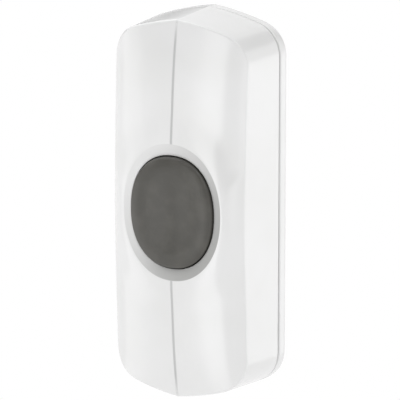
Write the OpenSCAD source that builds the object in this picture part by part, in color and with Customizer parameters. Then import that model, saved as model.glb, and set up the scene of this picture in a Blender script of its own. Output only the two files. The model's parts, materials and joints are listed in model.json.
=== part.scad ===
// Wireless doorbell push: a slim wall-mounted bell button with a gabled, drafted casing,
// a ridged front and an oval finger pad set in a shallow bowl.
// Depth is measured from the wall, which is the plane y = 0; the front faces -Y and +Z is up.

/* [Casing] */
// Overall height of the casing, from the top of its arch to the bottom
casing_h = 90; // [84:1:96]
// Overall width, across the back plate
casing_w = 37; // [35:0.5:40]
// Depth of the front ridge at mid height
ridge_depth = 20.8; // [20.7:0.1:21.2]
// Slope of each front panel beside the ridge
panel_slope = 4; // [3:0.5:6]
// Slope of each front panel near its outer edge
edge_slope = 27; // [24:0.5:29]
// Radius of each panel's bow from top to bottom
panel_bow = 350; // [320:10:400]
// Radius of the four corners
corner_r = 7.9; // [6:0.1:9]
// Wall thickness of the front cover
wall = 1.6; // [1.4:0.1:1.8]

/* [Button] */
// Half width of the oval finger pad
pad_half_w = 10.6; // [10:0.1:11]
// Half height of the oval finger pad
pad_half_h = 12.9; // [12.5:0.1:13.2]
// Gap all round between the pad and the cover
pad_gap = 0.3; // [0.25:0.05:0.4]
// How far the pad can be pressed in
pad_travel = 0.8; // [0.4:0.1:0.8]

/* [Wall fixing] */
// Distance between the two screw holes, up the plate
screw_spacing = 60; // [52:1:66]
// Radius of each screw hole
screw_hole_r = 2.1; // [1.8:0.1:2.4]

/* [Battery] */
// Radius of the lithium coin cell
cell_r = 10; // [10:0.1:10]
// Thickness of the lithium coin cell
cell_h = 3.2; // [3.2:0.1:3.2]

/* [Hidden] */
$fn = 48;

half_h = casing_h / 2;
half_w = casing_w / 2;
sliver = 0.01;

// The casing's arch: a shallow gable whose sides bow outwards.
gable_slope = 0.12;
gable_curve = 0.0081;
arch_steps = 10;

// Depths of the layers, from the wall forwards.
plate_t = 3.0;
floor_t = 2.0;
seam = 0.3;
cover_back = plate_t + seam;
lip_depth = 5.6;
board_back = 7.8;
board_front = 8.8;
boot_top = 14.2;
stop_face = 17.0;
bowl_floor = 20.4;
rim_depth = 21;
panel_edge = 17.3;
pad_edge = 21.1;

// The cover narrows towards the front.
side_draft = 0.08;
end_draft = 0.065;
cover_step = 0.28;
front_limit = ridge_depth + 2;

// Oval shapes share one superellipse exponent.
oval_power = 2.2;
oval_sides = 48;
bowl_half_w = pad_half_w + 2.1;
bowl_half_h = pad_half_h + 3.05;

// The lip that stands up inside the cover, and the hook and groove that join them at the top.
lip_inset = 2.4;
lip_t = 1.2;
lip_rise = 0.3;
hook_w = 5.2;
hook_back = 4.9;
groove_w = 6.4;
groove_back = 4.2;

// The collar that guides the pad, as the distance outside the pad across and up.
collar_in = [2, 2.6];
collar_out = [3.7, 4.6];
boot_out = [3, 3.9];

boss_z = 29;
board_half_w = 14.4;
board_half_h = 33;
cell_z = -13;
cell_back = 3.5;
flange_t = 1.2;

function arch_z(x, apex) = apex - gable_slope * abs(x) - gable_curve * x * x;
function cover_half_w(depth) = half_w - cover_step - side_draft * (depth - cover_back);
function cover_half_h(depth) = half_h - end_draft * (depth - cover_back);
function oval_part(value) = sign(value) * pow(abs(value), 2 / oval_power);

// The outline of the casing, with rounded corners.
module casing_outline(across, apex) {
    top = [for (i = [-arch_steps:arch_steps]) across * i / arch_steps];
    upper = [for (x = top) [x, arch_z(x, apex)]];
    lower = [for (x = top) [-x, -arch_z(x, apex)]];
    offset(r = corner_r, $fn = 32)
        offset(delta = -corner_r)
            polygon(concat(upper, lower));
}

module oval(across, up) {
    polygon([for (i = [0:oval_sides - 1])
        let (a = 360 * i / oval_sides)
        [across * oval_part(cos(a)), up * oval_part(sin(a))]]);
}

// A flat shape drawn in X and Z, standing forwards from a depth.
module layer(depth, thick) {
    translate([0, -depth, 0]) rotate([90, 0, 0]) linear_extrude(thick) children();
}

// A round bar along Y, standing forwards from a depth.
module peg(x, z, r, depth, length) {
    translate([x, -depth, z]) rotate([90, 0, 0]) cylinder(r = r, h = length);
}

// A box given by its centre in X and Z and the depth of its back.
module block(x, z, size_x, size_z, depth, thick) {
    translate([x - size_x / 2, -depth - thick, z - size_z / 2]) cube([size_x, thick, size_z]);
}

// A tube of casing outline, drafted like the cover, set in from its outside.
module drafted(inset, from, to) {
    hull() {
        layer(from, sliver) casing_outline(cover_half_w(from) - inset, cover_half_h(from) - inset);
        layer(to, sliver) casing_outline(cover_half_w(to) - inset, cover_half_h(to) - inset);
    }
}

// Everything behind the front panels. Each bows from top to bottom and, near its outer edge,
// falls away more steeply; the two meet in the vertical ridge.
module behind_panels(inset) {
    reach = 80;
    outer_depth = panel_edge + cover_half_w(panel_edge) * tan(edge_slope);
    intersection_for (panel = [[ridge_depth, panel_slope], [outer_depth, edge_slope]], side = [-1, 1])
        translate([0, inset - panel[0], 0])
            rotate([0, 0, side * panel[1]])
                translate([0, panel_bow, 0])
                    rotate([0, 90, 0])
                        cylinder(r = panel_bow, h = reach, center = true, $fn = 256);
}

module back_plate() {
    edge = 0.4;
    round_in = 0.7;
    lip_half_w = half_w - lip_inset;
    lip_half_h = half_h - lip_inset + lip_rise;
    pry_slot = [9, 1.6];
    color("white") difference() {
        union() {
            hull() {
                layer(0, sliver) casing_outline(half_w - round_in, half_h - round_in);
                layer(round_in, plate_t - round_in - edge) casing_outline(half_w, half_h);
                layer(plate_t - sliver, sliver) casing_outline(half_w - edge, half_h - edge);
            }
            layer(floor_t, lip_depth - floor_t) casing_outline(lip_half_w, lip_half_h);
            // Hook that holds the top of the cover.
            block(0, lip_half_h, hook_w, 1.7, hook_back, lip_depth - hook_back);
        }
        layer(floor_t, lip_depth) casing_outline(lip_half_w - lip_t, lip_half_h - lip_t);
        for (side = [-1, 1])
            peg(0, side * screw_spacing / 2, screw_hole_r, -1, floor_t + 2);
        gasket_channel(0.05);
        // Slot for the tool that levers the cover off.
        block(0, -half_h, pry_slot[0], pry_slot[1], plate_t - 0.9, 2);
    }
}

// The channel in the plate's rim, wider than the cord in it by a clearance.
module gasket_channel(clearance) {
    outer = 0.75 - clearance;
    inner = 1.65 + clearance;
    deep = 1;
    short_of_cover = 0.08;
    layer(plate_t - deep - clearance, deep + seam - short_of_cover + clearance) difference() {
        casing_outline(half_w - outer, half_h - outer);
        casing_outline(half_w - inner, half_h - inner);
    }
}

module rim_gasket() {
    // The cord stops short of the slot at the bottom.
    gap = [9.4, 4];
    color("dimgray") difference() {
        gasket_channel(0);
        block(0, -half_h, gap[0], gap[1], plate_t - 1.1, 2);
    }
}

module front_cover() {
    bowl_wall = 1.7;
    boss_r = 2.6;
    pilot_r = 1.05;
    pilot_depth = 7;
    color("white") difference() {
        union() {
            intersection() {
                drafted(0, cover_back, front_limit);
                behind_panels(0);
            }
            // The panels swell up to the flat rim of the bowl.
            hull() {
                layer(stop_face, sliver) oval(bowl_half_w + 3, bowl_half_h + 3);
                layer(rim_depth, sliver) oval(bowl_half_w + 0.3, bowl_half_h + 0.3);
            }
        }
        difference() {
            intersection() {
                drafted(wall, cover_back - 1, front_limit);
                behind_panels(wall);
            }
            // The wall of the bowl, carried back as a collar that guides the pad.
            layer(boot_top + 0.1, ridge_depth)
                difference() {
                    oval(pad_half_w + collar_out[0], pad_half_h + collar_out[1]);
                    oval(pad_half_w + collar_in[0], pad_half_h + collar_in[1]);
                }
            layer(stop_face, ridge_depth) oval(bowl_half_w + bowl_wall, bowl_half_h + bowl_wall);
            for (side = [-1, 1])
                peg(0, side * boss_z, boss_r, board_front, ridge_depth);
        }
        hull() {
            layer(bowl_floor, sliver) oval(pad_half_w + pad_gap, pad_half_h + pad_gap);
            layer(rim_depth, sliver) oval(bowl_half_w, bowl_half_h);
            layer(front_limit, sliver) oval(bowl_half_w + 0.4, bowl_half_h + 0.4);
        }
        layer(boot_top - 1, ridge_depth) oval(pad_half_w + pad_gap, pad_half_h + pad_gap);
        for (side = [-1, 1])
            peg(0, side * boss_z, pilot_r, board_front - 1, pilot_depth + 1);
        // Groove that the plate's hook stands in.
        block(0, half_h - 2.2, groove_w, 2.5, groove_back, 2.4);
    }
}

module button_cap() {
    flange_back = stop_face - pad_gap - flange_t;
    skin = 1.2;
    post_r = 2;
    post_back = 16.4;
    flange_out = [1.3, 1.2];
    // Each step of the crown: distance in from the side, height above the pad's edge.
    crown = [[0, 0], [0.25, 0.35], [0.8, 0.68], [1.7, 0.85]];
    dish = [0.25, 0.5, 0.75, 1, 1.15];
    dish_depth = 0.8;
    dish_floor = pad_edge + 0.05;
    inside_front = dish_floor - skin;
    color("dimgray") {
        layer(flange_back, flange_t) difference() {
            oval(pad_half_w + flange_out[0], pad_half_h + flange_out[1]);
            oval(pad_half_w - skin, pad_half_h - skin);
        }
        layer(flange_back + 0.2, inside_front - flange_back) difference() {
            oval(pad_half_w, pad_half_h);
            oval(pad_half_w - skin, pad_half_h - skin);
        }
        difference() {
            hull() {
                layer(inside_front, sliver) oval(pad_half_w, pad_half_h);
                for (step = crown)
                    layer(pad_edge + step[1] - sliver, sliver)
                        oval(pad_half_w - step[0], pad_half_h - step[0]);
            }
            // The shallow finger dish.
            hull() for (u = dish)
                layer(dish_floor + dish_depth * u * u, sliver)
                    oval((pad_half_w - skin) * u, (pad_half_h - skin) * u);
        }
        peg(0, 0, post_r, post_back, inside_front - post_back + 0.3);
    }
}

module button_boot() {
    skirt_t = 1;
    skirt_half_w = pad_half_w + boot_out[0];
    skirt_half_h = pad_half_h + boot_out[1];
    roof_t = 0.8;
    skirt_back = board_front + 0.05;
    nib_r = 2.2;
    nib_top = 16.3;
    tip_r = 1.5;
    tip_back = 13.2;
    color("gainsboro") {
        difference() {
            layer(skirt_back, boot_top - skirt_back) oval(skirt_half_w, skirt_half_h);
            layer(skirt_back - 1, boot_top - roof_t - skirt_back + 1)
                oval(skirt_half_w - skirt_t, skirt_half_h - skirt_t);
        }
        peg(0, 0, nib_r, boot_top - roof_t, nib_top - boot_top + roof_t);
        peg(0, 0, tip_r, tip_back, boot_top - tip_back);
    }
}

module circuit_board() {
    round_r = 3;
    hole_r = 1.2;
    color("seagreen") difference() {
        union() {
            block(0, 0, 2 * (board_half_w - round_r), 2 * board_half_h, board_back, board_front - board_back);
            block(0, 0, 2 * board_half_w, 2 * (board_half_h - round_r), board_back, board_front - board_back);
            for (x = [-1, 1], z = [-1, 1])
                peg(x * (board_half_w - round_r), z * (board_half_h - round_r), round_r,
                    board_back, board_front - board_back);
        }
        for (side = [-1, 1])
            peg(0, side * boss_z, hole_r, board_back - 1, 3);
    }
}

module board_screws() {
    head_r = 2.1;
    head_h = 1.4;
    shank_r = 1;
    shank_l = 6;
    color("silver") for (side = [-1, 1]) difference() {
        union() {
            peg(0, side * boss_z, head_r, board_back - 0.02 - head_h, head_h);
            peg(0, side * boss_z, shank_r, board_back - 0.1, shank_l);
        }
        block(0, side * boss_z, 2.6, 0.5, board_back - head_h - 0.1, 0.7);
        block(0, side * boss_z, 0.5, 2.6, board_back - head_h - 0.1, 0.7);
    }
}

// The bell switch is a six millimetre tactile switch on the front of the board.
bell_base = board_front + 0.02;
bell_size = 6;
bell_h = 3.4;

module bell_switch_body() {
    color("#222222") difference() {
        block(0, 0, bell_size, bell_size, bell_base, bell_h - 0.3);
        peg(0, 0, 2, bell_base + 1, bell_h);
    }
}

module bell_switch_frame() {
    frame_t = 0.25;
    color("silver") {
        difference() {
            block(0, 0, bell_size, bell_size, bell_base + bell_h - 0.28, frame_t);
            peg(0, 0, 1.95, bell_base, bell_h + 1);
        }
        for (x = [-1, 1], z = [-1, 1])
            block(x * (bell_size / 2 + 0.45), z * 2.25, 0.8, 0.7, bell_base, 0.2);
    }
}

module bell_switch_plunger() {
    plunger_base = bell_base + 1.5;
    plunger_top = 13.1;
    color("#333333") peg(0, 0, 1.7, plunger_base, plunger_top - plunger_base);
}

// A smaller switch behind the board, pressed with the cover open, steps through the tunes.
tune_x = -10;
tune_z = 6;
tune_size = 4.4;
tune_h = 1.6;
tune_front = board_back - 0.02;

module tune_switch_body() {
    color("#d8d8d0") {
        difference() {
            block(tune_x, tune_z, tune_size, tune_size, tune_front - tune_h, tune_h);
            peg(tune_x, tune_z, 1.3, tune_front - tune_h - 1, tune_h + 0.6);
        }
        for (x = [-1, 1], z = [-1, 1])
            block(tune_x + x * (tune_size / 2 + 0.3), tune_z + z * 1.4, 0.8, 0.6, tune_front - 0.2, 0.2);
    }
}

module tune_switch_plunger() {
    rise = 0.7;
    color("#333333") peg(tune_x, tune_z, 1, tune_front - tune_h - rise, rise + tune_h - 0.8);
}

// The encoder is a fourteen-lead chip behind the board.
chip_z = 14;
chip_l = 8.7;
chip_w = 3.9;
chip_h = 1.4;
lead_pitch = 1.27;

module encoder_chip() {
    color("#1c1c1c") difference() {
        block(0, chip_z, chip_l, chip_w, board_back - chip_h - 0.15, chip_h);
        peg(-chip_l / 2 + 0.9, chip_z - 1.1, 0.4, board_back - chip_h - 0.3, 0.3);
    }
}

module encoder_leads() {
    foot = 0.9;
    stem = 0.25;
    color("silver") for (i = [-3:3], side = [-1, 1]) {
        block(i * lead_pitch, chip_z + side * (chip_w / 2 + 0.6 + foot / 2), 0.42, foot, board_back - 0.22, 0.2);
        block(i * lead_pitch, chip_z + side * (chip_w / 2 + 0.6), 0.42, stem, board_back - 0.9, 0.88);
        block(i * lead_pitch, chip_z + side * (chip_w / 2 + 0.36), 0.42, 0.7, board_back - 0.9, 0.2);
    }
}

module resonator_can() {
    can_x = -7.4;
    can_z = 23.5;
    color("#c8c8c8") {
        peg(can_x, can_z, 4.3, board_back - 3.3, 3.28);
        peg(can_x, can_z, 4.65, board_back - 0.5, 0.48);
    }
}

transistor_x = 2.5;
transistor_z = 22;

module rf_transistor() {
    color("#1c1c1c") block(transistor_x, transistor_z, 2.9, 1.3, board_back - 1.1, 0.95);
}

module transistor_leads() {
    color("silver") {
        for (x = [-0.95, 0.95])
            block(transistor_x + x, transistor_z - 0.95, 0.4, 0.56, board_back - 0.3, 0.28);
        block(transistor_x, transistor_z + 0.95, 0.4, 0.56, board_back - 0.3, 0.28);
    }
}

module chip_resistors() {
    color("#2a2a2a") {
        for (i = [0:3])
            block(-3.6 + 2.4 * i, 5, 1.25, 2, board_back - 0.52, 0.5);
        block(transistor_x, 26, 2, 1.25, board_back - 0.52, 0.5);
    }
}

module chip_capacitors() {
    color("#b08a5a") {
        for (i = [0:2])
            block(-1.4 + 2.4 * i, 9, 1.25, 2, board_back - 0.82, 0.8);
        block(-1.5, 19.4, 1.25, 2, board_back - 0.82, 0.8);
    }
}

module reservoir_capacitor() {
    color("#b9bcc0") {
        peg(-8, 22, 2.5, board_front + 0.9, 4.5);
        block(-8, 22, 5.3, 5.3, board_front + 0.02, 0.8);
        peg(-8, 22, 2.3, board_front + 0.6, 0.5);
    }
}

// The aerial is a short upright helix behind the board, soldered at both ends.
module aerial_coil() {
    turns = 6;
    coil_r = 1.5;
    wire_r = 0.3;
    coil_x = 10.5;
    coil_depth = 5.5;
    low = 13;
    high = 27;
    lead_l = board_back - coil_depth - 0.02;
    color("#b87333") {
        translate([coil_x, -coil_depth, low])
            linear_extrude(high - low, twist = -360 * turns, slices = 12 * turns, $fn = 8)
                translate([coil_r, 0]) circle(r = wire_r);
        for (z = [low, high])
            peg(coil_x + coil_r, z, wire_r, coil_depth, lead_l);
    }
}

holder_r = 11.6;
holder_back = 3.3;

module battery_holder() {
    base_t = 0.55;
    color("#202020") difference() {
        peg(0, cell_z, holder_r, holder_back, board_back - 0.02 - holder_back);
        peg(0, cell_z, cell_r + 0.25, holder_back - 1, board_back - base_t - holder_back + 1);
        peg(0, cell_z, 3.4, holder_back, 6);
        // Gap in the wall, where a fingertip tips the cell out.
        block(0, cell_z - holder_r, 11, 8, holder_back - 1, board_back - base_t - holder_back + 1);
    }
}

module battery_clip() {
    strap_w = 5;
    strap_t = 0.3;
    strap_back = 3;
    leg_x = holder_r + 0.3;
    color("silver") {
        block(0, cell_z, 2 * leg_x + strap_t, strap_w, strap_back, strap_t - 0.1);
        for (side = [-1, 1])
            block(side * leg_x, cell_z, strap_t, strap_w, strap_back, board_back - strap_back - 0.02);
    }
}

module battery_contact() {
    color("silver") {
        peg(0, cell_z, 3, board_back - 0.42, 0.4);
        peg(0, cell_z, 1.2, cell_back + cell_h + 0.05, 0.9);
    }
}

module cell_can() {
    color("silver") difference() {
        peg(0, cell_z, cell_r, cell_back, cell_h - 0.4);
        peg(0, cell_z, cell_r - 0.3, cell_back + 0.3, cell_h);
    }
}

module cell_seal() {
    color("#3b3b3b") difference() {
        peg(0, cell_z, cell_r - 0.35, cell_back + 0.35, cell_h - 0.7);
        peg(0, cell_z, cell_r - 0.9, cell_back, cell_h);
    }
}

module cell_cap() {
    color("lightgray") peg(0, cell_z, cell_r - 0.95, cell_back + 0.4, cell_h - 0.4);
}

back_plate();
rim_gasket();
front_cover();
button_cap();
button_boot();
circuit_board();
board_screws();
bell_switch_body();
bell_switch_frame();
bell_switch_plunger();
tune_switch_body();
tune_switch_plunger();
encoder_chip();
encoder_leads();
resonator_can();
rf_transistor();
transistor_leads();
chip_resistors();
chip_capacitors();
reservoir_capacitor();
aerial_coil();
battery_holder();
battery_clip();
battery_contact();
cell_can();
cell_seal();
cell_cap();
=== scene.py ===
import json
import math

import bmesh
import bpy
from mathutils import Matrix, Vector


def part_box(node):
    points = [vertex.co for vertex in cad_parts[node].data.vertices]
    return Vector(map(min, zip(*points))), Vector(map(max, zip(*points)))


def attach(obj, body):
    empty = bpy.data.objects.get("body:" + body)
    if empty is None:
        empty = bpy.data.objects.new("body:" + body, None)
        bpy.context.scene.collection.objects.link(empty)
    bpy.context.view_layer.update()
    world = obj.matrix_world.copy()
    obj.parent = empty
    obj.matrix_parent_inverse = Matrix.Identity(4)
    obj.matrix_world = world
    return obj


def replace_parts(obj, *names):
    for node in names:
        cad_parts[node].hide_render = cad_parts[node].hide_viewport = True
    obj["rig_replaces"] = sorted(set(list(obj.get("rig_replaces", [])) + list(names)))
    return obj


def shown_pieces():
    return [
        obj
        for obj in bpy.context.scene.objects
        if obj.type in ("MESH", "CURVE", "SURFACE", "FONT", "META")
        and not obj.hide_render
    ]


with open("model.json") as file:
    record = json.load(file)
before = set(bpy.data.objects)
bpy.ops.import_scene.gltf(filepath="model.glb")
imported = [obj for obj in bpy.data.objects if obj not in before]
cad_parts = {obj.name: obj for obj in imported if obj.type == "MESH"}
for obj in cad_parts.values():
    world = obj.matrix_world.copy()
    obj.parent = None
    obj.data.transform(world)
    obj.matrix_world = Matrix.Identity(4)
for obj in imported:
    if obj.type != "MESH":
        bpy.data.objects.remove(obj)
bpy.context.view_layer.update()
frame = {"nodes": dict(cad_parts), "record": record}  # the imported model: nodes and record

# Sizes below are in millimetres, as a draughtsman would write them; depth is measured from the
# wall towards the visitor. place() turns both into the frame's metres.
mm = 0.001
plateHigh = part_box("back_plate")[1]
boardFront = -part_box("circuit_board")[0].y / mm
onAxis = 0.0001  # radius of a lathe profile's ends, so that they close on the axis

casing = {
    "halfWidth": plateHigh.x / mm,
    "apex": plateHigh.z / mm,       # half height, at the tip of the arch
    "archSlope": 0.12,
    "archBow": 0.0081,
    "cornerRadius": 7.9,
    "archSteps": 26,
    "cornerSteps": 14,
    "sideSteps": 34,
}
pad = {"halfWidth": 10.6, "halfHeight": 12.9, "power": 2.2, "gap": 0.3, "edge": 21.1}
bowl = {
    "halfWidth": 12.69,
    "halfHeight": 15.95,
    "power": 2.13,
    "rimTop": 20.9,           # depth of the rim above and below the pad
    "rimSide": 20.6,          # and beside it, lowered to soften the swell there
    "floor": 20.4,
    "shoulder": 0.62,         # below 1 the wall rounds over into the gap beside the pad
    "steps": 12,
}
stopFace = 17.0               # where the cover stops the pad's flange


def place(x, depth, z):
    return Vector((x * mm, -depth * mm, z * mm))


def lerp(a, b, t):
    return a + (b - a) * t


def lerpPoint(a, b, t):
    return tuple(lerp(u, v, t) for u, v in zip(a, b))


def smoothStep(t):
    t = min(max(t, 0.0), 1.0)
    return t * t * (3 - 2 * t)


ridgeRows = (0.0, 0.1, 0.2, 0.3, 0.42, 0.7)  # rows beside the ridge that keep their distance from it


def archHeight(x, apex):
    return apex - casing["archSlope"] * x - casing["archBow"] * x * x


def archQuarter(halfWidth, apex, radius):
    # top centre to the middle of the right side: arch, rounded corner, straight side
    low, high = 0.0, halfWidth
    for _ in range(40):
        x = (low + high) / 2
        fall = casing["archSlope"] + 2 * casing["archBow"] * x
        if x - radius * fall / math.hypot(1, fall) > halfWidth - radius:
            high = x
        else:
            low = x
    fall = casing["archSlope"] + 2 * casing["archBow"] * x
    cornerZ = archHeight(x, apex) - radius / math.hypot(1, fall)
    steps = casing["archSteps"]
    arch = list(ridgeRows)
    arch += [lerp(ridgeRows[-1], x, i / steps) for i in range(1, steps + 1)]
    points = [(a, archHeight(a, apex)) for a in arch]
    startAngle = math.atan2(1, fall)
    for i in range(1, casing["cornerSteps"] + 1):
        angle = lerp(startAngle, 0, i / casing["cornerSteps"])
        points.append((
            halfWidth - radius + radius * math.cos(angle), cornerZ + radius * math.sin(angle)))
    for i in range(1, casing["sideSteps"] + 1):
        points.append((halfWidth, cornerZ * (1 - i / casing["sideSteps"])))
    return points


def wholeLoop(quarter):
    rightLow = [(x, -z) for x, z in reversed(quarter[:-1])]
    leftLow = [(-x, -z) for x, z in quarter[1:]]
    leftTop = [(-x, z) for x, z in reversed(quarter[1:-1])]
    return quarter + rightLow + leftLow + leftTop


def alongLengths(points):
    total = [0.0]
    for a, b in zip(points, points[1:]):
        total.append(total[-1] + math.dist(a, b))
    return total


def ovalQuarter(halfWidth, halfHeight, power):
    # as many points as archQuarter has, spread in step with it
    turns = [math.pi / 2 * i / 600 for i in range(601)]
    fine = [
        (halfWidth * math.sin(t) ** (2 / power), halfHeight * max(math.cos(t), 0) ** (2 / power))
        for t in turns
    ]
    run = alongLengths(fine)
    frontArch = archQuarter(casing["halfWidth"] - 1.4, casing["apex"] - 1, casing["cornerRadius"])
    guide = alongLengths(frontArch)
    points, j = [], 0
    for k, length in enumerate(guide):
        if k < len(ridgeRows):
            x = ridgeRows[k] * min(1.0, halfWidth / 10)
            points.append((x, halfHeight * (1 - (x / halfWidth) ** power) ** (1 / power)))
            start = x
            continue
        share = (length - guide[len(ridgeRows) - 1]) / (guide[-1] - guide[len(ridgeRows) - 1])
        target = lerp(start, run[-1], share)
        while j < len(run) - 2 and run[j + 1] < target:
            j += 1
        t = (target - run[j]) / max(run[j + 1] - run[j], 1e-9)
        points.append(lerpPoint(fine[j], fine[j + 1], min(t, 1)))
    return points


def oval(halfWidth, halfHeight, power=2.2):
    return wholeLoop(ovalQuarter(halfWidth, halfHeight, power))


def arched(halfWidth, apex, inset=0.0):
    radius = max(casing["cornerRadius"] - inset, 1.0)
    return wholeLoop(archQuarter(halfWidth - inset, apex - inset, radius))


def flatLoop(points, depth):
    return [(x, depth, z) for x, z in points]


def roundedCorner(before, corner, after, steps=5):
    # loops that round the corner between two loops, on a quadratic curve
    loops = []
    for i in range(steps + 1):
        t = i / steps
        loops.append([
            lerpPoint(lerpPoint(a, b, t), lerpPoint(b, c, t), t)
            for a, b, c in zip(before, corner, after)
        ])
    return loops


def loftMesh(name, loops, closed=False, capFirst=False, capLast=False):
    mesh = bpy.data.meshes.new(name)
    size = len(loops[0])
    points = [place(*p) for loop in loops for p in loop]
    faces = []
    rows = len(loops) if closed else len(loops) - 1
    for row in range(rows):
        here, there = row * size, (row + 1) % len(loops) * size
        for i in range(size):
            j = (i + 1) % size
            faces.append((here + i, here + j, there + j, there + i))
    if capFirst:
        faces.append(tuple(reversed(range(size))))
    if capLast:
        faces.append(tuple((len(loops) - 1) * size + i for i in range(size)))
    mesh.from_pydata(points, [], faces)
    mesh.validate()
    build = bmesh.new()
    build.from_mesh(mesh)
    bmesh.ops.remove_doubles(build, verts=build.verts, dist=0.000002)
    bmesh.ops.recalc_face_normals(build, faces=build.faces)
    build.to_mesh(mesh)
    build.free()
    return mesh


def addPiece(mesh, smooth=True):
    piece = bpy.data.objects.new(mesh.name, mesh)
    bpy.context.scene.collection.objects.link(piece)
    for face in mesh.polygons:
        face.use_smooth = smooth
    return piece


def latheMesh(name, profile, x, z, sides=48):
    # profile is (radius, depth) pairs; the axis stands out of the wall at x, z
    loops = []
    for radius, depth in profile:
        turns = [2 * math.pi * i / sides for i in range(sides)]
        loops.append([(x + radius * math.cos(t), depth, z + radius * math.sin(t)) for t in turns])
    return loftMesh(name, loops, closed=True)


def boxMesh(name, x, z, sizeX, sizeZ, depth, thick):
    corners = [(-1, -1), (1, -1), (1, 1), (-1, 1)]
    loops = [
        [(x + cx * sizeX / 2, level, z + cz * sizeZ / 2) for cx, cz in corners]
        for level in (depth, depth + thick)
    ]
    return loftMesh(name, loops, capFirst=True, capLast=True)


def combine(piece, tools, operation):
    # applies a boolean with each tool mesh, then drops the tools
    for toolMesh in tools:
        tool = addPiece(toolMesh, smooth=False)
        change = piece.modifiers.new("combine", "BOOLEAN")
        change.operation = operation
        change.solver = "EXACT"
        change.object = tool
        graph = bpy.context.evaluated_depsgraph_get()
        result = bpy.data.meshes.new_from_object(piece.evaluated_get(graph))
        result.name = piece.data.name
        piece.modifiers.clear()
        piece.data = result
        bpy.data.objects.remove(tool)


def smoothUnder(piece, degrees):
    # faces meet smoothly unless they meet at more than this angle
    piece.data.shade_smooth()
    piece.data.set_sharp_from_angle(angle=math.radians(degrees))


class Signal:
    # one shader value; arithmetic on it adds Math nodes
    def __init__(self, graph, socket):
        self.graph = graph
        self.socket = socket

    def maths(self, operation, first, second):
        return self.graph.node("ShaderNodeMath", {"operation": operation}, {0: first, 1: second})

    def __add__(self, other):
        return self.maths("ADD", self, other)

    __radd__ = __add__

    def __sub__(self, other):
        return self.maths("SUBTRACT", self, other)

    def __rsub__(self, other):
        return self.maths("SUBTRACT", other, self)

    def __mul__(self, other):
        return self.maths("MULTIPLY", self, other)

    __rmul__ = __mul__

    def __truediv__(self, other):
        return self.maths("DIVIDE", self, other)

    def __pow__(self, other):
        return self.maths("POWER", self, other)

    def size(self):
        return self.graph.node("ShaderNodeMath", {"operation": "ABSOLUTE"}, {0: self})

    def ramp(self, low, high):
        # 0 below low, 1 above high, smooth between
        return self.graph.node(
            "ShaderNodeMapRange", {"interpolation_type": "SMOOTHSTEP", "clamp": True},
            {"Value": self, "From Min": low, "From Max": high})


class Graph:
    def __init__(self, name):
        self.material = bpy.data.materials.new(name)
        self.material.use_nodes = True
        self.tree = self.material.node_tree
        self.tree.nodes.clear()
        self.output = self.tree.nodes.new("ShaderNodeOutputMaterial")

    def node(self, kind, settings=None, values=None, output=0):
        made = self.tree.nodes.new(kind)
        for name, value in (settings or {}).items():
            setattr(made, name, value)
        for name, value in (values or {}).items():
            socket = made.inputs[name]
            if isinstance(value, Signal):
                self.tree.links.new(value.socket, socket)
            else:
                socket.default_value = value
        return Signal(self, made.outputs[output])

    def position(self):
        return self.node("ShaderNodeTexCoord", output="Object")

    def parts(self, vector):
        split = self.node("ShaderNodeSeparateXYZ", {}, {"Vector": vector})
        return [Signal(self, socket) for socket in split.socket.node.outputs]

    def noise(self, scale, detail=3.0, roughness=0.5):
        return self.node("ShaderNodeTexNoise", {}, {
            "Vector": self.position(), "Scale": scale, "Detail": detail, "Roughness": roughness})

    def blend(self, amount, first, second):
        mixed = self.tree.nodes.new("ShaderNodeMix")
        mixed.data_type = "RGBA"
        for index, value in ((0, amount), (6, first), (7, second)):
            if isinstance(value, Signal):
                self.tree.links.new(value.socket, mixed.inputs[index])
            else:
                mixed.inputs[index].default_value = value if index == 0 else (*value, 1.0)
        return Signal(self, mixed.outputs[2])

    def bump(self, height, strength, distance):
        return self.node("ShaderNodeBump", {}, {
            "Height": height, "Strength": strength, "Distance": distance})

    def finish(self, **sockets):
        names = {
            "color": "Base Color", "roughness": "Roughness", "metallic": "Metallic", "normal": "Normal",
            "specular": "Specular IOR Level",
        }
        shader = self.node("ShaderNodeBsdfPrincipled", {}, {names[k]: v for k, v in sockets.items()})
        self.tree.links.new(shader.socket, self.output.inputs["Surface"])
        return self.material


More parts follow.
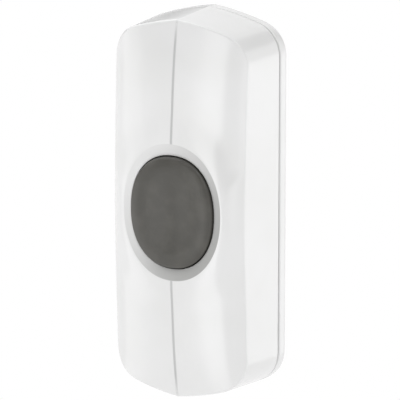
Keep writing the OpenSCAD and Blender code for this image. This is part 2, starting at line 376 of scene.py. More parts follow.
def casingPlastic():
    look = {
        "white": (0.8, 0.8, 0.8),
        "shade": (0.775, 0.775, 0.77),
        "ringShade": (0.36, 0.36, 0.35),    # painted shade on the bowl's wall, mostly at its lower right
        "shadeAcross": 22.0,                # how fast that shade grows to the right, per metre
        "shadeDown": 14.0,
        "creaseShade": (0.5, 0.5, 0.5),     # painted shade, a dark line along the ridge
        "creaseWidth": 0.00042,
        "creaseEnd": 0.046,
        "creaseFade": 0.008,
        "panelFront": (0.0172, 0.0176),     # depths between which the crease line sets in
        "bowlFront": (0.0195, 0.0197),
        "roughness": 0.18,
        "specular": 0.95,
        "cloudScale": 60.0,
        "rubScale": 320.0,
        "peelScale": 900.0,
        "scuffScale": 2600.0,
    }
    g = Graph("casingPlastic")
    across, depth, up = g.parts(g.position())
    forward = 0 - depth
    inBowl = ((across.size() / (bowl["halfWidth"] * mm)) ** bowl["power"]
              + (up.size() / (bowl["halfHeight"] * mm)) ** bowl["power"])
    ring = (1 - inBowl.ramp(0.975, 1.0)) * forward.ramp(*look["bowlFront"])
    # painted shade along the ridge, fading out towards the ends and kept off the bowl
    crease = 1 - across.size().ramp(look["creaseWidth"] * 0.4, look["creaseWidth"])
    crease = crease * forward.ramp(*look["panelFront"])
    crease = crease * (1 - up.size().ramp(look["creaseEnd"] - look["creaseFade"], look["creaseEnd"]))
    crease = crease * (1 - ring)
    # direction of the painted shade on the bowl's wall: it grows to the right and downwards
    shelter = 0.5 + across * look["shadeAcross"] - up * look["shadeDown"]
    cloud = g.noise(look["cloudScale"], 2.0)
    rub = g.noise(look["rubScale"], 4.0).ramp(0.45, 0.75)
    peel = g.noise(look["peelScale"], 2.0)
    scuff = g.noise(look["scuffScale"], 1.0)
    colour = g.blend(cloud.ramp(0.35, 0.7), look["white"], look["shade"])
    # painted shade: mixes the darker ringShade into the bowl's wall
    colour = g.blend(ring * shelter.ramp(0.0, 1.0), colour, look["ringShade"])
    colour = g.blend(crease, colour, look["creaseShade"])
    return g.finish(
        color=colour,
        roughness=look["roughness"] + 0.05 * rub + 0.25 * crease,
        normal=g.bump(peel + 0.3 * scuff, 0.04, 0.0001),
        specular=look["specular"],
    )


def padPlastic():
    look = {
        "grey": (0.072, 0.069, 0.061),
        "dust": (0.09, 0.086, 0.076),
        "roughness": 0.34,
        "grainScale": 4200.0,
        "cloudScale": 240.0,
    }
    g = Graph("padPlastic")
    grain = g.noise(look["grainScale"], 2.0, 0.6)
    cloud = g.noise(look["cloudScale"], 3.0)
    return g.finish(
        color=g.blend(cloud.ramp(0.4, 0.75), look["grey"], look["dust"]),
        roughness=look["roughness"] + 0.1 * cloud,
        normal=g.bump(grain, 0.18, 0.00005),
        specular=0.45,
    )


def softRubber(name, light, dark, roughness):
    g = Graph(name)
    cloud = g.noise(500.0, 3.0)
    grain = g.noise(5000.0, 2.0)
    return g.finish(
        color=g.blend(cloud.ramp(0.35, 0.7), light, dark),
        roughness=roughness + 0.12 * cloud,
        normal=g.bump(grain, 0.2, 0.00005),
        specular=0.3,
    )


def mouldedPlastic(name, light, dark, roughness):
    g = Graph(name)
    grain = g.noise(3200.0, 2.0, 0.6)
    cloud = g.noise(700.0, 3.0)
    return g.finish(
        color=g.blend(cloud.ramp(0.4, 0.7), light, dark),
        roughness=roughness + 0.1 * cloud,
        normal=g.bump(grain, 0.25, 0.00004),
        specular=0.5,
    )


def boardLaminate():
    look = {
        "mask": (0.012, 0.11, 0.045),
        "track": (0.02, 0.19, 0.075),
        "trackWidth": 0.08,
        "cell": 300.0,
        "weaveScale": 1800.0,
    }
    g = Graph("boardLaminate")
    cells = g.node("ShaderNodeTexVoronoi", {"feature": "DISTANCE_TO_EDGE"}, {
        "Vector": g.position(), "Scale": look["cell"], "Randomness": 0.45})
    track = 1 - cells.ramp(look["trackWidth"], look["trackWidth"] * 1.4)
    weave = g.noise(look["weaveScale"], 2.0)
    return g.finish(
        color=g.blend(track, look["mask"], look["track"]),
        roughness=0.32 + 0.12 * weave,
        normal=g.bump(track + 0.15 * weave, 0.5, 0.00003),
        specular=0.5,
    )


def metal(name, light, dark, roughness, streak=1.0):
    g = Graph(name)
    stretched = g.node("ShaderNodeMapping", {}, {"Vector": g.position(), "Scale": (1.0, 1.0, streak)})
    brush = g.node("ShaderNodeTexNoise", {}, {"Vector": stretched, "Scale": 2400.0, "Detail": 3.0})
    tarnish = g.noise(380.0, 3.0)
    return g.finish(
        color=g.blend(tarnish.ramp(0.4, 0.75), light, dark),
        roughness=roughness + 0.15 * brush + 0.08 * tarnish,
        metallic=1.0,
        normal=g.bump(brush, 0.12, 0.00002),
    )


print("scene: materials")
finishes = {
    "gasket": softRubber("gasketRubber", (0.03, 0.03, 0.03), (0.05, 0.05, 0.05), 0.6),
    "silicone": softRubber("siliconeRubber", (0.66, 0.66, 0.63), (0.58, 0.58, 0.55), 0.5),
    "board_green": boardLaminate(),
    "black_plastic": mouldedPlastic("blackPlastic", (0.022, 0.022, 0.023), (0.034, 0.034, 0.035), 0.42),
    "ivory_plastic": mouldedPlastic("ivoryPlastic", (0.68, 0.66, 0.57), (0.6, 0.58, 0.5), 0.4),
    "ceramic": mouldedPlastic("capacitorCeramic", (0.42, 0.27, 0.13), (0.34, 0.21, 0.1), 0.45),
    "tinned": metal("tinnedMetal", (0.78, 0.77, 0.74), (0.66, 0.65, 0.62), 0.22),
    "steel": metal("brushedSteel", (0.62, 0.61, 0.59), (0.5, 0.49, 0.47), 0.26, 0.12),
    "aluminium": metal("canAluminium", (0.8, 0.8, 0.81), (0.68, 0.68, 0.7), 0.28),
    "copper": metal("copperWire", (0.75, 0.36, 0.2), (0.6, 0.26, 0.14), 0.25),
    "grey_pad": padPlastic(),
    "white_casing": casingPlastic(),
}


def dress(piece, material):
    piece.data.materials.clear()
    piece.data.materials.append(material)


def swap(piece, node, body):
    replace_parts(piece, node)
    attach(piece, body)


print("scene: front cover")
cover = {
    "back": 3.3,              # depth of the seam with the back plate
    "step": 0.28,             # how far the cover stands in from the plate's side
    "sideDraft": 0.08,
    "endDraft": 0.065,
    "ridge": 20.8,            # depth of the ridge at mid height, and its fall to the ends
    "ridgeFall": 2.9,
    "ridgePower": 3.0,
    "edge": 17.33,            # depth of the panels' outer edge, and its fall to the ends
    "edgeFall": 1.82,
    "edgePower": 1.39,
    "panelSlope": 0.28,       # share of a panel's fall that is straight; the rest is crowned
    "panelPower": 4.6,        # how late the crown falls towards the outer edge
    "ridgeRounding": 0.12,
    "edgeRounding": 0.45,
    "creaseDeep": 0.06,       # the fine line moulded along the ridge, fading out towards the ends
    "creaseHalfWidth": 0.3,
    "creaseEnd": 0.84,        # as a share of the half height
    "creaseFade": 0.25,
    "wall": 1.6,
    "frontWall": 1.75,        # wall behind the panels
    "swellWidth": 8.0,        # how far the rise to the bowl's rim spreads
    "easeFrom": 5.0,          # rays longer than this ease into the rise, fully after easeOver more
    "easeOver": 6.0,
    "rimRounding": 0.35,
    "backRounding": 0.18,
    "innerRounding": 0.15,
    "frontSteps": 34,
    "collarBack": 14.3,       # the collar that guides the pad, as distances outside the pad
    "collarIn": (2.0, 2.6),
    "collarOut": (3.7, 4.6),
}


def coverHalfWidth(depth):
    return casing["halfWidth"] - cover["step"] - cover["sideDraft"] * (depth - cover["back"])


frontHalfWidth = coverHalfWidth(cover["edge"])


def coverOutline(depth, inset=0.0):
    apex = casing["apex"] - cover["endDraft"] * (depth - cover["back"])
    return arched(coverHalfWidth(depth), apex, inset)


def panelDepth(x, z):
    along = abs(z) / casing["apex"]
    ridge = cover["ridge"] - cover["ridgeFall"] * along ** cover["ridgePower"]
    edge = cover["edge"] - cover["edgeFall"] * along ** cover["edgePower"]
    across = math.hypot(x, cover["ridgeRounding"]) / frontHalfWidth
    fall = lerp(across ** cover["panelPower"], across, cover["panelSlope"])
    fade = smoothStep((cover["creaseEnd"] - along) / cover["creaseFade"])
    crease = cover["creaseDeep"] * fade * max(1 - abs(x) / cover["creaseHalfWidth"], 0)
    return ridge - (ridge - edge) * fall - crease


def frontSurface(point, rimPoint, edgePoint):
    # the panel and its rise to the bowl's rim, which fades out along the ray through the point
    ray = math.dist(rimPoint, edgePoint)
    spread = min(cover["swellWidth"], ray)
    u = min(math.dist(point, rimPoint) / spread, 1.0)
    side = (rimPoint[0] / bowl["halfWidth"]) ** 2
    rise = lerp(bowl["rimTop"], bowl["rimSide"], side) - panelDepth(*rimPoint)
    easing = smoothStep((ray - cover["easeFrom"]) / cover["easeOver"])
    return panelDepth(*point) + rise * (1 - lerp(u * u, smoothStep(u), easing))


def drafted(nearDepth, farDepth, inset=0.0):
    # a function that gives point i of the wall at any depth; its draft is straight, so two depths fix it
    near, far = coverOutline(nearDepth, inset), coverOutline(farDepth, inset)

    def wallPoint(i, depth):
        return lerpPoint(near[i], far[i], (depth - nearDepth) / (farDepth - nearDepth))

    return wallPoint


def wallLoop(wallPoint, depths):
    points = [wallPoint(i, depth) for i, depth in enumerate(depths)]
    return [(x, depth, z) for (x, z), depth in zip(points, depths)]


def buildCover():
    back, rounding, rimRound = cover["back"], cover["edgeRounding"], cover["rimRounding"]
    outerPoint = drafted(12.0, 22.0)
    rimLoop = oval(bowl["halfWidth"], bowl["halfHeight"], bowl["power"])
    count = len(rimLoop)
    edgeLoop = [outerPoint(i, cover["edge"]) for i in range(count)]
    for _ in range(4):
        depths = [frontSurface(edgeLoop[i], rimLoop[i], edgeLoop[i]) for i in range(count)]
        edgeLoop = [outerPoint(i, depths[i]) for i in range(count)]

    def onFront(i, share):
        point = lerpPoint(rimLoop[i], edgeLoop[i], share)
        return (point[0], frontSurface(point, rimLoop[i], edgeLoop[i]), point[1])

    # the front, from the bowl's rim out to the panels' edge
    rays = [math.dist(rimLoop[i], edgeLoop[i]) for i in range(count)]
    loops = []
    steps = cover["frontSteps"]
    for s in range(steps + 1):
        share = 0.5 - 0.5 * math.cos(math.pi * (s / steps)) if s not in (0, steps) else s / steps
        loops.append([
            onFront(i, lerp(rimRound / rays[i], 1 - rounding / rays[i], share)) for i in range(count)
        ])

    # the outer wall, back to the seam
    corner = [(edgeLoop[i][0], depths[i], edgeLoop[i][1]) for i in range(count)]
    wallTop = [depth - rounding for depth in depths]
    loops += roundedCorner(loops[-1], corner, wallLoop(outerPoint, wallTop), 7)[1:]
    wallEnd = back + cover["backRounding"]
    for s in range(1, 7):
        loops.append(wallLoop(outerPoint, [lerp(top, wallEnd, s / 6) for top in wallTop]))
    backOuter = flatLoop(coverOutline(back), back)
    backIn = flatLoop(coverOutline(back, cover["backRounding"]), back)
    loops += roundedCorner(loops[-1], backOuter, backIn, 4)[1:]
    loops.append(flatLoop(coverOutline(back, cover["wall"] - cover["innerRounding"]), back))

    # the inner wall, forwards to the back of the panels
    innerPoint = drafted(4.0, 20.0, cover["wall"])
    innerDepth = [15.0] * count
    for _ in range(4):
        innerDepth = [
            panelDepth(*innerPoint(i, innerDepth[i])) - cover["frontWall"] for i in range(count)
        ]
    for s in range(6):
        level = [lerp(back + cover["innerRounding"], depth, s / 5) for depth in innerDepth]
        loops.append(wallLoop(innerPoint, level))

    # the back of the panels, the collar and the opening that the pad stands in
    innerEdge = [(x, z) for x, _, z in loops[-1]]
    collarOut, collarIn = [
        oval(pad["halfWidth"] + across, pad["halfHeight"] + up)
        for across, up in (cover["collarOut"], cover["collarIn"])
    ]
    opening = oval(pad["halfWidth"] + pad["gap"], pad["halfHeight"] + pad["gap"])
    for s in range(1, 9):
        ring = [lerpPoint(innerEdge[i], collarOut[i], s / 8) for i in range(count)]
        loops.append([(x, panelDepth(x, z) - cover["frontWall"], z) for x, z in ring])
    loops.append(flatLoop(collarOut, cover["collarBack"]))
    loops.append(flatLoop(collarIn, cover["collarBack"]))
    loops.append(flatLoop(collarIn, stopFace))
    loops.append(flatLoop(opening, stopFace))
    loops.append(flatLoop(opening, bowl["floor"] - 0.2))

    # the bowl, from the opening up to its rim
    rimDepth = [frontSurface(rimLoop[i], rimLoop[i], edgeLoop[i]) for i in range(count)]
    for s in range(bowl["steps"]):
        share = s / bowl["steps"]
        ring = [lerpPoint(opening[i], rimLoop[i], share) for i in range(count)]
        lift = share ** bowl["shoulder"]
        loops.append([
            (x, lerp(bowl["floor"], depth, lift), z) for (x, z), depth in zip(ring, rimDepth)
        ])
    rimCorner = [(rimLoop[i][0], rimDepth[i], rimLoop[i][1]) for i in range(count)]
    loops += roundedCorner(loops[-1], rimCorner, loops[0], 6)[1:-1]
    return loftMesh("frontCover", loops, closed=True)


coverPiece = addPiece(buildCover())
post = {"z": 29.0, "radius": 2.6, "pilot": 1.05, "deep": 7.0, "front": 19.3, "chamfer": 0.3}
groove = {"below": 2.2, "width": 6.4, "height": 2.5, "back": 4.2, "deep": 2.4}
posts = []
cuts = []
for z in (-post["z"], post["z"]):
    outer = [
        (onAxis, boardFront),
        (post["radius"] - post["chamfer"], boardFront),
        (post["radius"], boardFront + post["chamfer"]),
        (post["radius"], post["front"]),
        (onAxis, post["front"]),
    ]
    bore = [
        (onAxis, boardFront - 1),
        (post["pilot"], boardFront - 1),
        (post["pilot"], boardFront + post["deep"]),
        (onAxis, boardFront + post["deep"] + 0.5),
    ]
    posts.append(latheMesh("post", outer, 0, z))
    cuts.append(latheMesh("pilot", bore, 0, z, 24))
cuts.append(boxMesh("hookGroove", 0, casing["apex"] - groove["below"], groove["width"], groove["height"],
                    groove["back"], groove["deep"]))
combine(coverPiece, posts, "UNION")
combine(coverPiece, cuts, "DIFFERENCE")
smoothUnder(coverPiece, 50)
dress(coverPiece, finishes["white_casing"])
swap(coverPiece, "front_cover", "front")


print("scene: back plate")
plate = {
    "thick": 3.0,
    "floor": 2.0,
    "backRounding": 0.8,
    "rimRounding": 0.45,
    "lipInset": 2.4,
    "lipWall": 1.2,
    "lipTop": 5.6,
    "lipRise": 0.3,           # how much taller the lip's arch is than the plate's, inset alike
    "lipRounding": 0.3,
    "channelOut": 0.8,        # the gasket's channel
    "channelIn": 1.6,
    "channelDeep": 1.0,
    "holeRadius": 2.1,
    "holeZ": 30.0,
    "sinkWidth": 0.9,         # the countersink round each screw hole
    "sinkHalfDeep": 0.45,
}
hook = {"below": 2.05, "width": 5.2, "height": 1.7, "back": 4.9}
pryNotch = {"below": 0.05, "width": 9, "height": 1.6, "deep": 0.9}


def plateLoop(depth, inset, extra=0.0):
    return flatLoop(arched(casing["halfWidth"], casing["apex"] + extra, inset), depth)


def buildPlate():
    thick, back, rim = plate["thick"], plate["backRounding"], plate["rimRounding"]
    channelFloor = thick - plate["channelDeep"]
    lip, top, rise, edge = plate["lipInset"], plate["lipTop"], plate["lipRise"], plate["lipRounding"]
    inner = lip + plate["lipWall"]
    loops = [plateLoop(0, 3.0)]
    loops += roundedCorner(plateLoop(0, back), plateLoop(0, 0), plateLoop(back, 0), 6)
    loops += roundedCorner(plateLoop(thick - rim, 0), plateLoop(thick, 0), plateLoop(thick, rim), 5)
    loops += [plateLoop(thick, plate["channelOut"]), plateLoop(channelFloor, plate["channelOut"])]
    loops += [plateLoop(channelFloor, plate["channelIn"]), plateLoop(thick, plate["channelIn"])]
    loops.append(plateLoop(thick, lip, rise))
    loops += roundedCorner(
        plateLoop(top - edge, lip, rise),
        plateLoop(top, lip, rise),
        plateLoop(top, lip + edge, rise), 3)
    loops += roundedCorner(
        plateLoop(top, inner - 0.2, rise),
        plateLoop(top, inner, rise),
        plateLoop(top - 0.2, inner, rise), 2)
    loops.append(plateLoop(plate["floor"], inner, rise))
    return loftMesh("backPlate", loops, capFirst=True, capLast=True)


platePiece = addPiece(buildPlate())
hookMesh = boxMesh("hook", 0, casing["apex"] - hook["below"], hook["width"], hook["height"],
                   hook["back"], plate["lipTop"] - hook["back"])
combine(platePiece, [hookMesh], "UNION")
holes = []
for z in (-plate["holeZ"], plate["holeZ"]):
    radius, floor, sink = plate["holeRadius"], plate["floor"], plate["sinkHalfDeep"]
    bore = [
        (onAxis, -1),
        (radius, -1),
        (radius, floor - sink),
        (radius + plate["sinkWidth"], floor + sink),
        (onAxis, floor + 0.5),
    ]
    holes.append(latheMesh("screwHole", bore, 0, z, 64))
holes.append(boxMesh("pryNotch", 0, -casing["apex"] - pryNotch["below"], pryNotch["width"],
                     pryNotch["height"], plate["thick"] - pryNotch["deep"], 2))
combine(platePiece, holes, "DIFFERENCE")
smoothUnder(platePiece, 40)
dress(platePiece, finishes["white_casing"])
swap(platePiece, "back_plate", "base")


print("scene: finger pad")
padShape = {
    "flangeThick": 1.2,
    "flangeOut": 1.3,
    "flangeChamfer": (0.1, 0.15),
    "sideTop": 20.6,
    "crown": [  # distance in from the side, depth
        (0.0, 20.8), (0.1, 21.05), (0.3, 21.25), (0.7, 21.45),
        (1.2, 21.63), (1.8, 21.79), (2.4, 21.87), (3.0, 21.9),
    ],
    "top": 21.91,
    "dishStart": 3.4,
    "dishDeep": 0.75,
    "dishSteps": 26,
    "centre": 0.35,           # half width from which the dish's loops are spread
    "innermost": 0.8,
    "skin": 1.2,
    "skinRounding": 0.6,
    "postRadius": 2.0,
    "postFillet": 0.4,
    "postChamfer": 0.2,
    "postBack": 16.4,
}


def padOval(inset, depth):
    return flatLoop(oval(pad["halfWidth"] - inset, pad["halfHeight"] - inset, pad["power"]), depth)


def ringAt(radius, depth):
    return flatLoop(oval(radius, radius, 2.0), depth)


def dishLoop(step):
    shape = padShape
    last = 1 - shape["dishStart"] / pad["halfWidth"]
    share = lerp(shape["centre"] / pad["halfWidth"], last, step / shape["dishSteps"])
    reach = share / last
    depth = shape["top"] - shape["dishDeep"] * (0.5 + 0.5 * math.cos(math.pi * reach))
    if step == 0:
        across = up = shape["innermost"]
    else:
        across = pad["halfWidth"] * share
        up = lerp(pad["halfHeight"] * share, pad["halfHeight"] - shape["dishStart"], reach)
    return flatLoop(oval(across, up, lerp(2.0, pad["power"], reach)), depth)


def buildPad():
    shape = padShape
    flangeFront = stopFace - pad["gap"]
    flangeBack = flangeFront - shape["flangeThick"]
    out, (chamferOut, chamferBack) = shape["flangeOut"], shape["flangeChamfer"]
    inside = pad["edge"] + 0.05 - shape["skin"]
    radius, back = shape["postRadius"], shape["postBack"]
    loops = [dishLoop(step) for step in range(shape["dishSteps"] + 1)]
    loops += [padOval(inset, depth) for inset, depth in reversed(shape["crown"])]
    loops.append(padOval(0, shape["sideTop"]))
    loops.append(padOval(0, flangeFront))
    loops.append(padOval(chamferOut - out, flangeFront))
    loops.append(padOval(-out, flangeFront - chamferBack))
    loops.append(padOval(-out, flangeBack))
    loops.append(padOval(shape["skin"], flangeBack))
    loops.append(padOval(shape["skin"], inside - shape["skinRounding"]))
    loops.append(padOval(shape["skin"] + shape["skinRounding"], inside))
    loops.append(ringAt(radius + shape["postFillet"], inside))
    loops.append(ringAt(radius, inside - shape["postFillet"]))
    loops.append(ringAt(radius, back + shape["postChamfer"]))
    loops.append(ringAt(radius - shape["postChamfer"], back))
    return loftMesh("fingerPad", loops, capFirst=True, capLast=True)


padPiece = addPiece(buildPad())
smoothUnder(padPiece, 50)
dress(padPiece, finishes["grey_pad"])
swap(padPiece, "button_cap", "pad")


class Recipe:
    # a Geometry Nodes tree with named sizes; make() runs it once and keeps the result as a plain mesh
    def __init__(self, name, sizes):
        self.name = name
        self.sizes = sizes
        self.tree = bpy.data.node_groups.new(name, "GeometryNodeTree")
        sockets = self.tree.interface
        sockets.new_socket("Geometry", in_out="INPUT", socket_type="NodeSocketGeometry")
        sockets.new_socket("Geometry", in_out="OUTPUT", socket_type="NodeSocketGeometry")
        self.identifiers = {}
        for label, value in sizes.items():
            kind = {int: "Int", float: "Float"}.get(type(value), "Vector")
            made = sockets.new_socket(label, in_out="INPUT", socket_type="NodeSocket" + kind)
            self.identifiers[label] = made.identifier
        self.entry = self.tree.nodes.new("NodeGroupInput")
        self.exit = self.tree.nodes.new("NodeGroupOutput")

    def source(self, label):
        return self.entry.outputs[label]

    def node(self, kind, settings=None, values=None, output=0):
        made = self.tree.nodes.new(kind)
        for name, value in (settings or {}).items():
            setattr(made, name, value)
        for name, value in (values or {}).items():
            if isinstance(value, bpy.types.NodeSocket):
                self.tree.links.new(value, made.inputs[name])
            else:
                made.inputs[name].default_value = value
        return made.outputs[output]

    def make(self, geometry, material, mesh=None):
        real = self.node("GeometryNodeRealizeInstances", {}, {"Geometry": geometry})
        painted = self.node("GeometryNodeSetMaterial", {}, {"Geometry": real, "Material": material})
        self.tree.links.new(painted, self.exit.inputs["Geometry"])
        host = addPiece(mesh or bpy.data.meshes.new(self.name))
        change = host.modifiers.new(self.name, "NODES")
        change.node_group = self.tree
        for label, identifier in self.identifiers.items():
            change[identifier] = self.sizes[label]
        graph = bpy.context.evaluated_depsgraph_get()
        result = bpy.data.meshes.new_from_object(host.evaluated_get(graph))
        host.modifiers.clear()
        host.data = result
        host.name = result.name = self.name
        return host


def sweepPath(name, points, width, height, sides, material):
    # a cord or wire of oval section along points given as (x, depth, z)
    path = bpy.data.meshes.new(name)
    path.from_pydata([place(*p) for p in points], [(i, i + 1) for i in range(len(points) - 1)], [])
    recipe = Recipe(name, {"width": width * mm, "height": height * mm, "sides": sides})
    curve = recipe.node("GeometryNodeMeshToCurve", {}, {"Mesh": recipe.source("Geometry")})
    ring = recipe.node("GeometryNodeCurvePrimitiveCircle", {}, {
        "Radius": 0.5, "Resolution": recipe.source("sides")})
    scale = recipe.node("ShaderNodeCombineXYZ", {}, {
        "X": recipe.source("width"), "Y": recipe.source("height"), "Z": 1.0})
    section = recipe.node("GeometryNodeTransform", {}, {"Geometry": ring, "Scale": scale})
    tube = recipe.node("GeometryNodeCurveToMesh", {}, {
        "Curve": curve, "Profile Curve": section, "Fill Caps": True})
    piece = recipe.make(tube, material, path)
    smoothUnder(piece, 50)
    return piece


def repeatInRows(name, unit, rows, material):
    # copies of one unit along straight rows, each (start, step, count, turn about the depth axis)
    sizes = {}
    for k, (start, step, count, turn) in enumerate(rows):
        sizes.update({f"start{k}": place(*start), f"step{k}": place(*step), f"count{k}": count,
                      f"turn{k}": Vector((0, math.radians(turn), 0))})
    recipe = Recipe(name, sizes)
    unitInfo = recipe.node("GeometryNodeObjectInfo", {}, {"Object": unit}, "Geometry")
    joined = recipe.tree.nodes.new("GeometryNodeJoinGeometry")
    for k in range(len(rows)):
        line = recipe.node("GeometryNodeMeshLine", {"mode": "OFFSET"}, {
            "Count": recipe.source(f"count{k}"), "Start Location": recipe.source(f"start{k}"),
            "Offset": recipe.source(f"step{k}")})
        copies = recipe.node("GeometryNodeInstanceOnPoints", {}, {
            "Points": line, "Instance": unitInfo, "Rotation": recipe.source(f"turn{k}")})
        recipe.tree.links.new(copies, joined.inputs[0])
    piece = recipe.make(joined.outputs[0], material)
    bpy.data.objects.remove(unit)
    smoothUnder(piece, 40)
    return piece


print("scene: gasket cord")
cord = {
    "inset": 1.2,
    "width": 0.86,
    "height": 1.2,
    "depth": 2.61,
    "gapHalfWidth": 4.75,     # it stops either side of the pry notch
    "sides": 20,
}


def buildGasket():
    loop = arched(casing["halfWidth"], casing["apex"], cord["inset"])
    bottom = min(range(len(loop)), key=lambda i: (loop[i][1], abs(loop[i][0])))
    turned = loop[bottom:] + loop[:bottom]
    kept = [(x, z) for x, z in turned if z > 0 or abs(x) > cord["gapHalfWidth"]]
    ends = [(-cord["gapHalfWidth"], kept[0][1]), (cord["gapHalfWidth"], kept[-1][1])]
    if kept[0][0] > 0:
        ends.reverse()
    route = [(x, cord["depth"], z) for x, z in [ends[0]] + kept + [ends[1]]]
    width, height, sides = cord["width"], cord["height"], cord["sides"]
    return sweepPath("gasketCord", route, width, height, sides, finishes["gasket"])


swap(buildGasket(), "rim_gasket", "base")

print("scene: aerial coil")
aerial = {
    "x": 10.5,
    "depth": 5.5,
    "low": 13.0,
    "high": 27.0,
    "turns": 6,
    "radius": 1.5,
    "wire": 0.56,
    "wireSides": 14,
    "stepsPerTurn": 36,
    "footDepth": 7.78,        # where the ends meet the board
}


def buildAerial():
    side = aerial["x"] + aerial["radius"]
    steps = aerial["turns"] * aerial["stepsPerTurn"]
    route = [(side, aerial["footDepth"], aerial["low"])]
    for i in range(steps + 1):
        turn = 2 * math.pi * i / aerial["stepsPerTurn"]
        route.append((aerial["x"] + aerial["radius"] * math.cos(turn),
                      aerial["depth"] - aerial["radius"] * math.sin(turn),
                      lerp(aerial["low"], aerial["high"], i / steps)))
    route.append((side, aerial["footDepth"], aerial["high"]))
    wire, sides = aerial["wire"], aerial["wireSides"]
    return sweepPath("aerialCoil", route, wire, wire, sides, finishes["copper"])


swap(buildAerial(), "aerial_coil", "front")

print("scene: encoder leads")
lead = {
    "pitch": 1.27,
    "perSide": 7,
    "chipZ": 14.0,
    "width": 0.4,
    "thick": 0.17,
    "route": [  # distance from the chip's middle, depth
        (1.97, 7.0), (2.42, 7.0), (2.53, 7.04), (2.6, 7.16),
        (2.6, 7.5), (2.66, 7.63), (2.78, 7.68), (3.42, 7.68),
    ],
}


def ribbonMesh(name, route, width, thick):
    # a flat strip of metal bent along a route of (z, depth) points
    loops = []
    for i, (z, depth) in enumerate(route):
        before, after = route[max(i - 1, 0)], route[min(i + 1, len(route) - 1)]
        run = math.dist(before, after)
        normal = ((before[1] - after[1]) / run, (after[0] - before[0]) / run)
        corners = ((-1, -1), (1, -1), (1, 1), (-1, 1))
        loops.append([(a * width / 2, depth + b * thick / 2 * normal[1], z + b * thick / 2 * normal[0])
                      for a, b in corners])
    return loftMesh(name, loops, capFirst=True, capLast=True)


def buildLeads():
    unit = addPiece(ribbonMesh("lead", lead["route"], lead["width"], lead["thick"]), smooth=False)
    first = -(lead["perSide"] - 1) / 2 * lead["pitch"]
    rows = [
        ((first, 0, lead["chipZ"]), (lead["pitch"], 0, 0), lead["perSide"], 0),
        ((first, 0, lead["chipZ"]), (lead["pitch"], 0, 0), lead["perSide"], 180),
    ]
    return repeatInRows("encoderLeads", unit, rows, finishes["tinned"])


swap(buildLeads(), "encoder_leads", "front")

print("scene: board screws")
screw = {
    "headBack": 6.38,
    "headFront": 7.78,
    "headRadius": 2.1,
    "shank": 0.82,
    "thread": 1.0,
    "tip": 13.6,
    "turns": 9,
    "recess": 0.5,            # the cross recess: width, length and depth
    "recessLong": 2.5,
    "recessDeep": 0.75,
    "spacing": 58.0,
}


def buildScrews():
    back, front, head = screw["headBack"], screw["headFront"], screw["headRadius"]
    profile = [  # radius, depth: the domed head first
        (onAxis, back), (head * 0.55, back + 0.04), (head * 0.82, back + 0.2),
        (head * 0.96, back + 0.5), (head, back + 0.85), (head, front - 0.1),
        (head - 0.1, front), (screw["shank"], front),
    ]
    pitch = (screw["tip"] - 0.8 - front) / screw["turns"]
    for i in range(screw["turns"]):
        start = front + i * pitch
        profile += [(screw["shank"], start + 0.15 * pitch), (screw["thread"], start + 0.45 * pitch),
                    (screw["shank"], start + 0.75 * pitch)]
    profile += [(0.5, screw["tip"] - 0.3), (onAxis, screw["tip"])]
    unit = addPiece(latheMesh("screw", profile, 0, 0, 40))
    cuts = [boxMesh("slot", 0, 0, *size, back - 0.5, screw["recessDeep"] + 0.5)
            for size in ((screw["recessLong"], screw["recess"]), (screw["recess"], screw["recessLong"]))]
    combine(unit, cuts, "DIFFERENCE")
    rows = [((0, 0, -screw["spacing"] / 2), (0, 0, screw["spacing"]), 2, 0)]
    return repeatInRows("boardScrews", unit, rows, finishes["steel"])


swap(buildScrews(), "board_screws", "front")

print("scene: inner parts")
replaced = set()
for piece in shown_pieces():
    replaced.update(piece.get("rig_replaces", []))
for entry in frame["record"]["subparts"]:
    if entry["node"] not in replaced:
        dress(frame["nodes"][entry["node"]], finishes[entry["material_slot"]])

print("scene: studio")
studio = {
    "floorDrop": 0.6,         # metres, as the other lengths here unless said
    "floorSize": 30.0,
    "floorGlow": 1.0,
    "sky": 0.25,
    "azimuth": 29.64,
    "elevation": 12.73,
    "distance": 0.804,
    "focal": 312.3,           # millimetres, on a sensor 36 wide
    "asideRight": 0.00377,
    "asideUp": 0.00109,
}


def direction(azimuth, elevation):
    a, e = math.radians(azimuth), math.radians(elevation)
    return Vector((math.sin(a) * math.cos(e), -math.cos(a) * math.cos(e), math.sin(e)))


def makeFloor():
    g = Graph("paleFloor")
    glow = g.node("ShaderNodeEmission", {}, {
        "Color": (1.0, 1.0, 1.0, 1.0), "Strength": studio["floorGlow"]})
    g.tree.links.new(glow.socket, g.output.inputs["Surface"])
    size, z = studio["floorSize"], -studio["floorDrop"]
    mesh = bpy.data.meshes.new("paleFloor")
    corners = [(-size, -size, z), (size, -size, z), (size, size, z), (-size, size, z)]
    mesh.from_pydata(corners, [], [(0, 1, 2, 3)])
    floor = bpy.data.objects.new("paleFloor", mesh)
    bpy.context.scene.collection.objects.link(floor)
    mesh.materials.append(g.material)


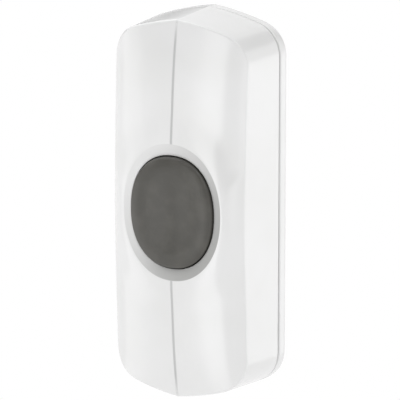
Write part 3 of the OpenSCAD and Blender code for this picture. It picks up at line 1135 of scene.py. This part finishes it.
def makeSky():
    world = bpy.data.worlds.new("studioAir")
    world.use_nodes = True
    background = world.node_tree.nodes["Background"]
    background.inputs["Color"].default_value = (1.0, 1.0, 1.0, 1.0)
    background.inputs["Strength"].default_value = studio["sky"]
    bpy.context.scene.world = world


softboxes = {
    # name: azimuth, elevation, distance, width, height, power
    "strip": (-8, -2, 0.8, 0.34, 0.9, 1.35),
    "leftFront": (-58, -4, 0.8, 0.42, 0.8, 0.7),
    "fill": (45, 5, 0.8, 0.3, 0.5, 0.25),
    "left": (-95, 45, 0.9, 1.0, 0.9, 3.6),
    "rightLow": (125, 0, 0.8, 0.9, 0.7, 1.6),
    "rightHigh": (75, 45, 0.8, 0.5, 0.5, 1.2),
    "behind": (-155, 35, 0.9, 1.0, 0.8, 1.6),
    "overhead": (20, 88, 0.9, 1.6, 1.6, 5.2),
}


def makeSoftbox(name, azimuth, elevation, distance, width, height, power):
    light = bpy.data.lights.new(name, "AREA")
    light.shape = "RECTANGLE"
    light.size, light.size_y = width, height
    light.energy = power
    lamp = bpy.data.objects.new(name, light)
    away = direction(azimuth, elevation)
    lamp.location = away * distance
    lamp.rotation_euler = away.to_track_quat("Z", "Y").to_euler()
    bpy.context.scene.collection.objects.link(lamp)


def makeCamera():
    data = bpy.data.cameras.new("viewer")
    data.sensor_width = 36.0
    data.lens = studio["focal"]
    data.clip_start, data.clip_end = 0.01, 100.0
    camera = bpy.data.objects.new("viewer", data)
    back = direction(studio["azimuth"], studio["elevation"])
    a = math.radians(studio["azimuth"])
    right = Vector((math.cos(a), math.sin(a), 0))
    up = back.cross(right)
    camera.location = back * studio["distance"] - right * studio["asideRight"] - up * studio["asideUp"]
    camera.rotation_euler = back.to_track_quat("Z", "Y").to_euler()
    bpy.context.scene.collection.objects.link(camera)
    bpy.context.scene.camera = camera


makeFloor()
makeSky()
for name, values in softboxes.items():
    makeSoftbox(name, *values)
makeCamera()
bpy.context.scene.view_settings.view_transform = "Standard"
bpy.context.scene.view_settings.look = "None"
